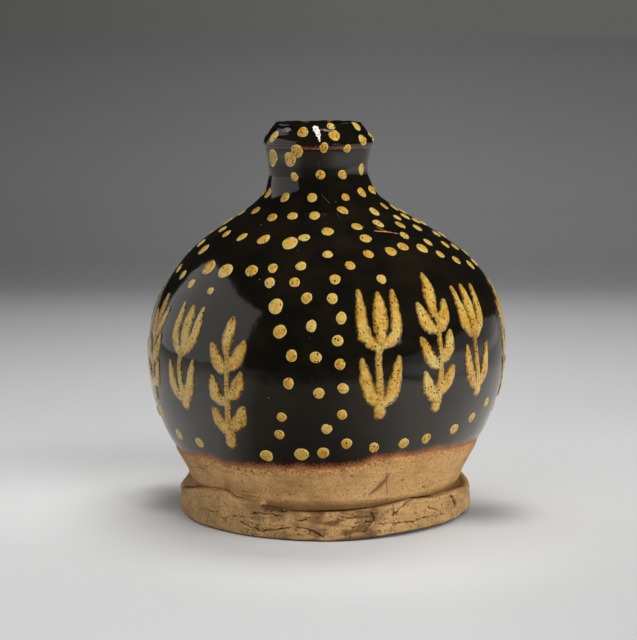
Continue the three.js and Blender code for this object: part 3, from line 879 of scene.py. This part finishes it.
def makeFlaw(name, slot, lift, dark, pale, lines):
    # narrow strips laid on the pot along lines drawn in the matched view
    material, tree = newMaterial(name)
    place = addNode(tree, "NewGeometry")
    grain = addNode(tree, "TexNoise", place, size=flawFinish["grain"], Detail=4)
    shade = addNode(tree, "ValToRGB", grain, stops=[(0.35, dark), (0.62, pale)])
    shader = addNode(tree, "BsdfPrincipled", shade, IOR=flawFinish["ior"], Roughness=flawFinish["roughness"])
    addNode(tree, "OutputMaterial", shader)
    points = []
    faces = []
    for line in lines:
        stations = []
        for (x0, y0, half0), (x1, y1, half1) in zip(line, line[1:]):
            for t in np.linspace(0, 1, 10, endpoint=False):
                stations.append((x0 + (x1 - x0) * t, y0 + (y1 - y0) * t, half0 + (half1 - half0) * t))
        stations.append(line[-1])
        stations = np.array(stations, float)
        step = np.gradient(stations[:, :2], axis=0)
        step /= np.linalg.norm(step, axis=1)[:, None]
        for index, ((x, y, half), (dx, dy)) in enumerate(zip(stations, step)):
            half *= 0.8 + 0.5 * noise.noise(Vector((x / 2.3, y / 2.3, 4)))
            for side in (-1, -0.4, 0.4, 1):
                turn, z = castOnPot(x - dy * half * side, y + dx * half * side)
                points.append(onPot(turn, z, collarSwell(z) + (lift if abs(side) < 1 else lift - 0.06)))
            if index:
                corner = len(points) - 8
                faces += [(corner + k, corner + k + 1, corner + k + 5, corner + k + 4) for k in range(3)]
    meshPiece(name, np.array(points), faces, {}, material, slot)


for name, flaw in flaws.items():
    makeFlaw(name, *flaw)


# Trailed slip

drop = {
    "sides": 32,
    "crown": 0.42,  # height above the coat, mm
    "size": 3.8,  # usual width, mm
    "rings": [0, 0.22, 0.42, 0.6, 0.75, 0.87, 0.95, 1.0],
}


def dropPoints(turn, z, size, chance, run=0.0):
    # one drop: a low dome with an uneven outline, closed underneath; run is how far it ran down, as a share
    wide = size / 2 * chance.uniform(0.94, 1.06)
    tall = size / 2 * chance.uniform(0.94, 1.12)
    slant = chance.uniform(-0.5, 0.5)
    tail = chance.choice((0, 0, 0.12, 0.22)) + run
    waves = [(chance.uniform(0.0, 0.1) / count, count, chance.uniform(0, math.tau)) for count in (2, 3, 4, 5)]
    radius = radiusAt(z)
    rise = steepAt(z)
    phi = np.arange(drop["sides"]) * math.tau / drop["sides"]
    reach = 1 + sum(a * np.sin(n * phi + p) for a, n, p in waves)
    reach = reach + tail * np.clip(-np.sin(phi), 0, 1) ** 4
    x = wide * reach * np.cos(phi)
    y = tall * reach * np.sin(phi)
    x, y = x * math.cos(slant) - y * math.sin(slant), x * math.sin(slant) + y * math.cos(slant)
    points = []
    thick = []
    for ring in drop["rings"]:
        lift = collarSwell(z + y * ring * rise) + drop["crown"] * (1 - ring**2.6) ** 0.7 - 0.12 * ring**8
        points.append(onPot(turn + x * ring / radius, z + y * ring * rise, lift))
        thick.append(np.full(len(phi), 1 - ring))
    for ring in (1.0, 0.5, 0):
        points.append(onPot(turn + x * ring / radius, z + y * ring * rise, -0.3))
        thick.append(np.zeros(len(phi)))
    return np.stack(points), np.stack(thick)


def makeDrops(name, drops, seed, *nodes):
    # a group of drops: each is turn, height, size and perhaps its run
    chance = random.Random(seed)
    points = []
    faces = []
    thick = []
    tint = []
    for turn, z, size, *run in drops:
        grid, depth = dropPoints(turn, z, size, chance, *run)
        start = sum(len(part) for part in points)
        rows, columns = grid.shape[:2]
        faces += [tuple(start + corner for corner in face) for face in ringFaces(rows, columns, False)]
        points.append(grid.reshape(-1, 3))
        thick.append(depth.ravel())
        tint.append(np.full(depth.size, chance.uniform(-1, 1)))
    thick = np.concatenate(thick)
    marks = {
        "thick": np.clip(thick * 1.5 - 0.02, 0, 0.46),
        "tint": np.concatenate(tint),
        "cover": 0.6 + thick * 8,
    }
    meshPiece(name, np.concatenate(points), faces, marks, slipFinish, "slip", *nodes)


def dropOfNode(node):
    # where a packed drop lies: turn, height and width
    low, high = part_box(node)
    middle = (low + high) / 2 / mm
    turn = math.atan2(middle.x - float(shiftAt(middle.z)), -middle.y)
    rise = steepAt(middle.z)
    return turn, middle.z, (high.z - low.z) / mm / max(rise, 0.3) - 0.4


for seed, row in enumerate(("collar_dot", "neck_dot", "shoulder_dot", "roundel_dot", "lower_dot")):
    nodes = sorted(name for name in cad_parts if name.startswith(row))
    makeDrops(row.replace("_dot", "_drops"), [dropOfNode(node) for node in nodes], seed, *nodes)

# The other drops that show in the matched view: pixels, then the width in mm where it isn't the
# usual one, and how far it ran down
shownDrops = {
    "rim_drops": [(331, 126.5, 3.2), (356.7, 126.5, 3.6)],
    "collar_edge_drops": [(323.8, 147.4, 3.2), (347.1, 148.7, 3.2)],
    "neck_side_drops": [(273.2, 155.4, 5.2, 0.7), (296.8, 151.4, 4.6), (290, 158, 4.8, 0.4),
                        (361, 170, 3.4, 0.2)],
    "neck_root_drops": [(270.4, 189.5), (285, 197), (312.1, 197, 3.6), (345.4, 197.4, 3.2), (361.3, 192.4),
                        (370.4, 189.1)],
    "right_shoulder_drops": [
        (383.3, 206.1), (392.8, 206.9), (396.7, 217.6, 3.2), (405, 216.1), (416.1, 220.6, 3.2),
        (377.8, 223.6), (399.8, 225), (417.2, 227.8), (436.1, 233.3), (404.2, 235.8), (427.6, 242.2, 3.4),
        (445, 244.2),
        (455, 246.7), (440, 254.4), (456.1, 260), (470, 264.4), (474.4, 262.2), (421.7, 248.3, 4.6),
        (402.8, 246.7, 4.2), (390.6, 251.1, 4.2)],
    "front_shoulder_drops": [(356.7, 226.7), (365.6, 238.3, 4.2), (327.6, 230.9, 4.4), (290, 242.3, 5.6),
                             (304, 237, 4), (263.6, 239.1, 4.8)],
    "left_shoulder_drops": [
        (225, 223.2), (222.7, 229.5), (226.4, 233.6), (242.3, 236.4), (201.4, 243.2), (204.1, 249.1, 4.6),
        (208.6, 267.3, 6), (225, 270.5, 6), (179.5, 268.2), (183.2, 274.5), (191.1, 283.6),
        (210.3, 290.5, 3.2)],
    "upper_belly_drops": [
        (251.4, 270.5, 4.8), (272.7, 267.7, 3.6), (294.7, 282.3), (300.9, 265.9), (327.6, 254.2),
        (368.3, 253.9), (350, 265.3), (381.4, 279, 3.6)],
    "lower_belly_drops": [
        (326.7, 429, 4), (323.2, 452.5, 4.4), (266.4, 455.5, 4.8), (373.8, 447.3), (403.8, 443.3, 4),
        (426.3, 438.2), (454, 428.8, 4.4), (471.7, 417.5), (486.3, 402.1, 3.6), (179.1, 434.1, 4.4),
        (199.5, 442.7, 4.4)],
}
for seed, (name, spots) in enumerate(shownDrops.items(), 20):
    placed = [(*castOnPot(*spot[:2]), *(spot[2:] or (drop["size"],))) for spot in spots]
    makeDrops(name, placed, seed)

# Rows that go on round the back: height, first and last degree, spacing in mm
backRows = {
    "back_neck_drops": [(115.5, 75, 290, 8.5)],
    "back_shoulder_drops": [(108.5, 95, 270, 8), (103.5, 92, 262, 8.5), (98.5, 98, 258, 9)],
    "back_belly_drops": [(93.5, 96, 262, 9.5), (38.5, 84, 290, 11), (42.5, 160, 184, 9)],
}
for seed, (name, rows) in enumerate(backRows.items(), 40):
    chance = random.Random(seed)
    drops = []
    for height, first, last, spacing in rows:
        radius = radiusAt(height)
        count = round(math.radians(last - first) * radius / spacing)
        for step in range(count + 1):
            turn = math.radians(first + (last - first) * step / count + chance.uniform(-1.4, 1.4))
            drops.append((turn, height + chance.uniform(-1, 1), drop["size"] * chance.uniform(0.88, 1.2)))
    makeDrops(name, drops, seed)

# A second roundel on the back, like the front one: two rings of drops round a middle one
# round its place in degrees and mm; each ring has a radius in mm and a count
roundel = {"turn": 172, "height": 69, "rings": [(0, 1), (10.5, 9), (17.5, 12)], "narrowed": 0.72, "size": 4}
chance = random.Random(50)
drops = []
radius = radiusAt(roundel["height"])
for reach, count in roundel["rings"]:
    for step in range(count):
        phi = math.tau * step / count + chance.uniform(-0.1, 0.1)
        turn = math.radians(roundel["turn"]) + reach * roundel["narrowed"] * math.cos(phi) / radius
        size = roundel["size"] * chance.uniform(0.9, 1.15)
        drops.append((turn, roundel["height"] + reach * math.sin(phi), size))
makeDrops("back_roundel_drops", drops, 51)
print("drops made")


# Sprigs

sprig = {
    "cell": 0.32,  # mm
    "crown": 0.5,
    "reach": 9.5,  # half the width of the patch that a sprig may cover, mm
}


def strokePath(corners, count=28):
    # smooth line through the corners
    corners = np.array(corners, float)
    if len(corners) == 2:
        return corners[0] + np.linspace(0, 1, count)[:, None] * (corners[1] - corners[0])
    ends = [2 * corners[0] - corners[1], *corners, 2 * corners[-1] - corners[-2]]
    points = []
    for a, b, c, d in zip(ends, ends[1:], ends[2:], ends[3:]):
        bowed, turned = 2 * a - 5 * b + 4 * c - d, 3 * b - a - 3 * c + d
        for t in np.linspace(0, 1, count // (len(corners) - 1), endpoint=False):
            points.append(0.5 * (2 * b + (c - a) * t + bowed * t**2 + turned * t**3))
    points.append(corners[-1])
    return np.array(points)


def laurel(half):
    # a stem with three pairs of leaves and one at its tip: corners and widths in mm
    strokes = [
        ([(-0.8, -half), (0.5, -half * 0.3), (0, half * 0.7)], (4.2, 2.6, 2.2)),
        ([(0, half * 0.45), (0.4, half)], (2, 5, 1.6)),
    ]
    for fork in (-0.8, -0.3, 0.2):
        for side in (-1, 1):
            root = half * fork + side * 0.7
            strokes.append(([(0, root), (side * 3.6, root + 3), (side * 6, root + 9)], (1.6, 5.2, 1.8)))
    return strokes


def tulip(half):
    # three petals on a stem, with two leaves low down
    strokes = [
        ([(0.6, -half), (-0.5, -half * 0.2), (0, half * 0.4)], (4.6, 2.6, 2.4)),
        ([(0, half * 0.15), (0, half * 0.95)], (2.4, 5.6, 1.8)),
    ]
    for side in (-1, 1):
        petal = [(0, half * 0.05), (side * 5, half * 0.35), (side * 5.6, half * 0.95)]
        leaf = [(0, -half * 0.9), (side * 4.2, -half * 0.65), (side * 6, -half * 0.12)]
        strokes += [(petal, (2, 4.8, 1.8)), (leaf, (1.6, 5.2, 1.8))]
    return strokes


def makeSprig(name, node, draw, seed):
    low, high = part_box(node)
    middle = (low + high) / 2 / mm
    half = (high.z - low.z) / mm / 2
    turn = math.atan2(middle.x, -middle.y)
    across = np.arange(-sprig["reach"], sprig["reach"], sprig["cell"])
    up = np.arange(-half - 2, half + 2, sprig["cell"])
    u, v = np.meshgrid(across, up)
    spots = np.stack([u.ravel(), v.ravel(), np.full(u.size, seed * 31.0)], -1)
    wander = roughAt(spots, 2.6, 7).reshape(u.shape)
    fray = roughAt(spots, 0.9, 8).reshape(u.shape)
    inside = np.full(u.shape, -9.0)
    weight = np.zeros(u.shape)
    chance = random.Random(seed)
    for corners, widths in draw(half - 1):
        drawn = [(x + chance.uniform(-0.7, 0.7), y + chance.uniform(-0.6, 0.6)) for x, y in corners]
        path = strokePath(drawn)
        part = np.linspace(0, 1, len(path))
        first, mid, last = widths
        swell = first + (last - first) * part + 4 * part * (1 - part) * (mid - (first + last) / 2)
        for (x, y), width in zip(path, swell):
            here = 1 - np.hypot(u - x, v - y) / (width / 2)
            weight = np.where(here > inside, min(width / 4.2, 1), weight)
            inside = np.maximum(inside, here)
    inside = inside + 0.14 * wander + 0.05 * fray
    dome = sprig["crown"] * (1 - (1 - np.clip(inside * 1.5, 0, 1)) ** 2) ** 0.7
    lift = np.where(inside > 0, dome - 0.02, np.clip(inside, -1, 0) * 0.35)
    thick = np.clip(0.42 + 0.16 * wander + 0.3 * roughAt(spots, 5, 9).reshape(u.shape), 0.05, 0.9)
    cover = np.clip(inside * 1.7 + 0.05 + 0.25 * fray + 0.2 * wander, -0.4, 0.3 + 0.6 * weight)

    kept = inside > -0.28
    cells = kept[:-1, :-1] & kept[1:, :-1] & kept[:-1, 1:] & kept[1:, 1:]
    turns = turn + u / radiusAt(middle.z + v)
    heights = middle.z + v
    topPoints = onPot(turns, heights, lift).reshape(-1, 3)
    underPoints = onPot(turns, heights, np.minimum(lift - 0.15, -0.35)).reshape(-1, 3)
    columns = u.shape[1]
    count = u.size
    faces = []
    for row, column in zip(*np.nonzero(cells)):
        a = row * columns + column
        corners = (a, a + 1, a + 1 + columns, a + columns)
        faces.append(corners)
        faces.append(tuple(count + corner for corner in reversed(corners)))
        beside = ((row - 1, column), (row, column + 1), (row + 1, column), (row, column - 1))
        for side, (r, c) in enumerate(beside):
            if not (0 <= r < cells.shape[0] and 0 <= c < cells.shape[1] and cells[r, c]):
                b, d = corners[side], corners[(side + 1) % 4]
                faces.append((d, b, count + b, count + d))
    points = np.concatenate([topPoints, underPoints])
    used = sorted({corner for face in faces for corner in face})
    place = {old: new for new, old in enumerate(used)}
    faces = [tuple(place[corner] for corner in face) for face in faces]
    marks = {
        "thick": np.tile(thick.ravel(), 2)[used],
        "tint": np.full(len(used), math.sin(seed * 2.3) * 0.5),
        "cover": np.tile(cover.ravel(), 2)[used],
    }
    meshPiece(name, points[used], faces, marks, slipFinish, "slip", node)


sprigNodes = sorted(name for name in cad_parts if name.startswith("sprig"))
laurels = {1, 3, 5, 7, 9, 11}  # the other sprigs are tulips
for number, node in enumerate(sprigNodes, 1):
    makeSprig("trailed_" + node, node, laurel if number in laurels else tulip, number)
print("sprigs made")


# Stage, light and camera

stage = {
    # painted light: the board's shade falls off going away from the camera, as the lamps' light would: depth
    # / (depth + half way), and sRGB
    "front": 0.3,  # metres before the bottle, where that depth starts
    "halfWay": 0.6,  # metres
    "shades": [
        (0.0, "aaaaaa"), (0.24, "afafaf"), (0.35, "b6b6b6"), (0.41, "b5b5b5"), (0.455, "acacac"),
        (0.49, "a7a7a7"), (0.53, "9d9d9d"), (0.546, "979797"), (0.562, "919191"), (0.575, "898989"),
        (0.588, "7e7e7e"), (0.602, "707070"), (0.615, "696969"), (0.643, "686868"), (0.671, "6e6e6e"),
        (0.714, "797979"), (0.758, "898989"), (0.803, "999999"), (0.85, "a4a4a4"), (0.9, "a6a6a6"),
        (0.945, "a1a1a1"), (0.97, "9c9c9c"), (1.0, "9d9d9d")],
    # painted shade: the backdrop is dimmer at its left and right, as the light falls off there: from and to
    # which slope, and how bright
    "left": (-0.16, 0.02, 0.73, 1.0),
    "right": (0.06, 0.16, 1.0, 0.91),
    "standpoint": 0.715,  # metres before the bottle, where those slopes start
    # painted light and shadow on the board by the bottle: paler left of it and before it, where the
    # lamps' shadow is painted out, and darker at its two sides as painted contact shadow:
    # middle and radius in metres, factor
    "spots": [
        ((-0.08, 0.02, 0), 0.09, 1.36), ((0.012, -0.052, 0), 0.09, 1.29), ((-0.056, 0.014, 0), 0.026, 0.8),
        ((-0.056, 0.024, 0), 0.018, 0.68), ((-0.053, 0.012, 0), 0.016, 0.66), ((-0.055, 0.0, 0), 0.018, 0.64),
        ((0.054, -0.01, 0), 0.028, 0.5)],
    # what the glaze mirrors, all round from the back by the left: pale beside the bottle, dark
    # towards the camera
    "mirroredNear": [
        (0.0, "a3a09b"), (0.12, "bbb8b2"), (0.25, "cfcbc5"), (0.33, "cfcbc5"), (0.4, "69645c"),
        (0.46, "5a564f"), (0.515, "68635b"), (0.56, "8d867d"), (0.62, "bfbbb5"), (0.75, "cac6c0"),
        (0.88, "bbb8b2"), (1.0, "a3a09b")],
    "mirroredFar": [
        (0.0, "8f8c87"), (0.12, "a09d98"), (0.25, "aaa7a1"), (0.33, "a19e99"), (0.4, "34373c"),
        (0.48, "1c1f22"), (0.56, "24282e"), (0.64, "4c4f53"), (0.72, "a19e99"), (0.78, "96938f"),
        (0.88, "96938f"), (1.0, "8f8c87")],
    "mirroredFrom": (0.26, 0.5),  # metres from the bottle, where the far one takes over
    "lit": "c4c4c3",  # the board as it lights the bottle
    "backdrop": "5e5e5d",  # above the board
    "room": "c8c8c8",  # the soft light from all round
    "roomStrength": 0.6,
    "mirroredRoom": "1a1a1a",
    "leftFades": (0.36, 0.68),  # on the board, the dimmer left and right set in at these depths
    "rightFades": (0.0, 0.14),
    "roughness": 0.9,
    "sheen": 0.1,
    "cardColour": (1, 0.97, 0.93),
    "boardSize": 80,  # metres
}


def makeStage():
    bpy.ops.mesh.primitive_plane_add(size=stage["boardSize"])
    floor = bpy.context.object
    floor.name = "floor"
    material, tree = newMaterial("matt_pale_board")
    place = addNode(tree, "NewGeometry")
    axes = addNode(tree, "SeparateXYZ", place)
    ahead = addNode(tree, "Math", axes.outputs["Y"], stage["front"], operation="ADD")
    depth = addNode(tree, "Math", ahead, 0.0, operation="MAXIMUM")
    further = addNode(tree, "Math", depth, stage["halfWay"], operation="ADD")
    share = addNode(tree, "Math", depth, further, operation="DIVIDE")
    # painted light: the board's shade by depth, then painted shade towards its left and right
    shades = addNode(tree, "ValToRGB", share, stops=stage["shades"])
    path = addNode(tree, "Math", axes.outputs["Y"], stage["standpoint"], operation="ADD")
    slope = addNode(tree, "Math", axes.outputs["X"], path, operation="DIVIDE")
    side = addNode(tree, "MapRange", slope, range=stage["left"])
    right = addNode(tree, "MapRange", slope, range=stage["right"])
    far = addNode(tree, "MapRange", share, interpolation_type="SMOOTHSTEP", range=stage["leftFades"])
    shown = addNode(tree, "Mix", far, shades, side, blend_type="MULTIPLY")
    begun = addNode(tree, "MapRange", share, range=stage["rightFades"])
    dimmed = addNode(tree, "Mix", begun, shown, right, blend_type="MULTIPLY")
    paintedShadeBoard = dimmed
    # painted light and shadow: each spot brightens or darkens the board round its middle
    for middle, radius, factor in stage["spots"]:
        gap = addNode(tree, "VectorMath", place, middle, operation="DISTANCE")
        spot = addNode(tree, "MapRange", gap, interpolation_type="SMOOTHSTEP",
                       range=(0.0, radius, factor, 1.0))
        paintedShadeBoard = addNode(tree, "Mix", 1.0, paintedShadeBoard, spot, blend_type="MULTIPLY")
    back = addNode(tree, "Math", axes.outputs["Y"], -1.0, operation="MULTIPLY")
    turn = addNode(tree, "Math", axes.outputs["X"], back, operation="ARCTAN2")
    around = addNode(tree, "MapRange", turn, range=(-math.pi, math.pi))
    close = addNode(tree, "ValToRGB", around, stops=stage["mirroredNear"])
    remote = addNode(tree, "ValToRGB", around, stops=stage["mirroredFar"])
    distance = addNode(tree, "VectorMath", place, operation="LENGTH")
    away = addNode(tree, "MapRange", distance, interpolation_type="SMOOTHSTEP",
                   range=stage["mirroredFrom"])
    mirrored = addNode(tree, "Mix", away, close, remote)
    seen = addNode(tree, "LightPath")
    plain = addNode(tree, "Mix", seen.outputs["Is Glossy Ray"], linear(stage["lit"]), mirrored)
    whole = addNode(tree, "Mix", seen.outputs["Is Camera Ray"], plain, paintedShadeBoard)
    shader = addNode(tree, "BsdfPrincipled", whole, Roughness=stage["roughness"],
                     **{"Specular IOR Level": stage["sheen"]})
    addNode(tree, "OutputMaterial", shader)
    floor.data.materials.append(material)

    world = bpy.data.worlds.new("studio")
    bpy.context.scene.world = world
    world.use_nodes = True
    tree = world.node_tree
    tree.nodes.clear()
    seen = addNode(tree, "LightPath")
    plain = addNode(tree, "Background", linear(stage["room"]), Strength=stage["roomStrength"])
    heading = addNode(tree, "SeparateXYZ", addNode(tree, "TexCoord").outputs["Generated"])
    # painted shade: the backdrop above the board dims towards its left too
    side = addNode(tree, "MapRange", heading.outputs["X"], range=stage["left"])
    dimmed = addNode(tree, "Mix", 1.0, linear(stage["backdrop"]), side, blend_type="MULTIPLY")
    grey = addNode(tree, "Background", dimmed, Strength=1.0)
    dark = addNode(tree, "Background", linear(stage["mirroredRoom"]), Strength=1.0)
    behind = addNode(tree, "MixShader", seen.outputs["Is Glossy Ray"], plain, dark)
    whole = addNode(tree, "MixShader", seen.outputs["Is Camera Ray"], behind, grey)
    addNode(tree, "OutputWorld", whole)


makeStage()

# Lamps: place and target in metres, width and height, watts, and shape. The lit ones give the
# light, the mirrored ones are the pale cards beside the bottle that show only in its gloss.
middle = (0, 0, 0.07)
litLamps = {
    "key": ((-0.75, -1.15, 0.85), middle, (0.9, 0.9), 7, "RECTANGLE"),
    "fill": ((1.15, -0.95, 0.9), middle, (1.6, 1.6), 39, "RECTANGLE"),
    "top": ((0.1, 0.4, 1.4), middle, (1.2, 0.6), 14, "RECTANGLE"),
}
mirroredLamps = {
    "left card": ((-0.5, 0.03, 0.3), (0, 0.03, 0.3), (0.9, 0.5), 0.99, "RECTANGLE"),
    "right card": ((0.5, 0.05, 0.02), (0, 0.05, 0.02), (1.15, 0.21), 0.16, "ELLIPSE"),
    "strip": ((0.27, -0.35, 0.17), (0, 0, 0.13), (0.12, 0.012), 0.03, "RECTANGLE"),
}
for name, (place, target, size, power, shape) in (litLamps | mirroredLamps).items():
    mirrored = name in mirroredLamps
    light = bpy.data.lights.new(name, "AREA")
    light.shape = shape
    light.size, light.size_y = size
    light.energy = power
    light.color = stage["cardColour"] if mirrored else (1, 1, 1)
    holder = bpy.data.objects.new(name, light)
    holder.location = place
    holder.rotation_euler = (Vector(target) - Vector(place)).to_track_quat("-Z", "Y").to_euler()
    holder.visible_glossy = mirrored
    holder.visible_diffuse = not mirrored
    bpy.context.scene.collection.objects.link(holder)

camera = bpy.data.cameras.new("camera")
camera.sensor_width = 36
camera.lens = view["focal"] * camera.sensor_width / view["height"]
camera.clip_start = 0.01
cameraHolder = bpy.data.objects.new("camera", camera)
cameraHolder.location = Vector(view["eye"]) * mm
cameraHolder.rotation_euler = (math.radians(90 - view["tilt"]), 0, 0)
bpy.context.scene.collection.objects.link(cameraHolder)
bpy.context.scene.camera = cameraHolder
bpy.context.scene.view_settings.view_transform = "Standard"
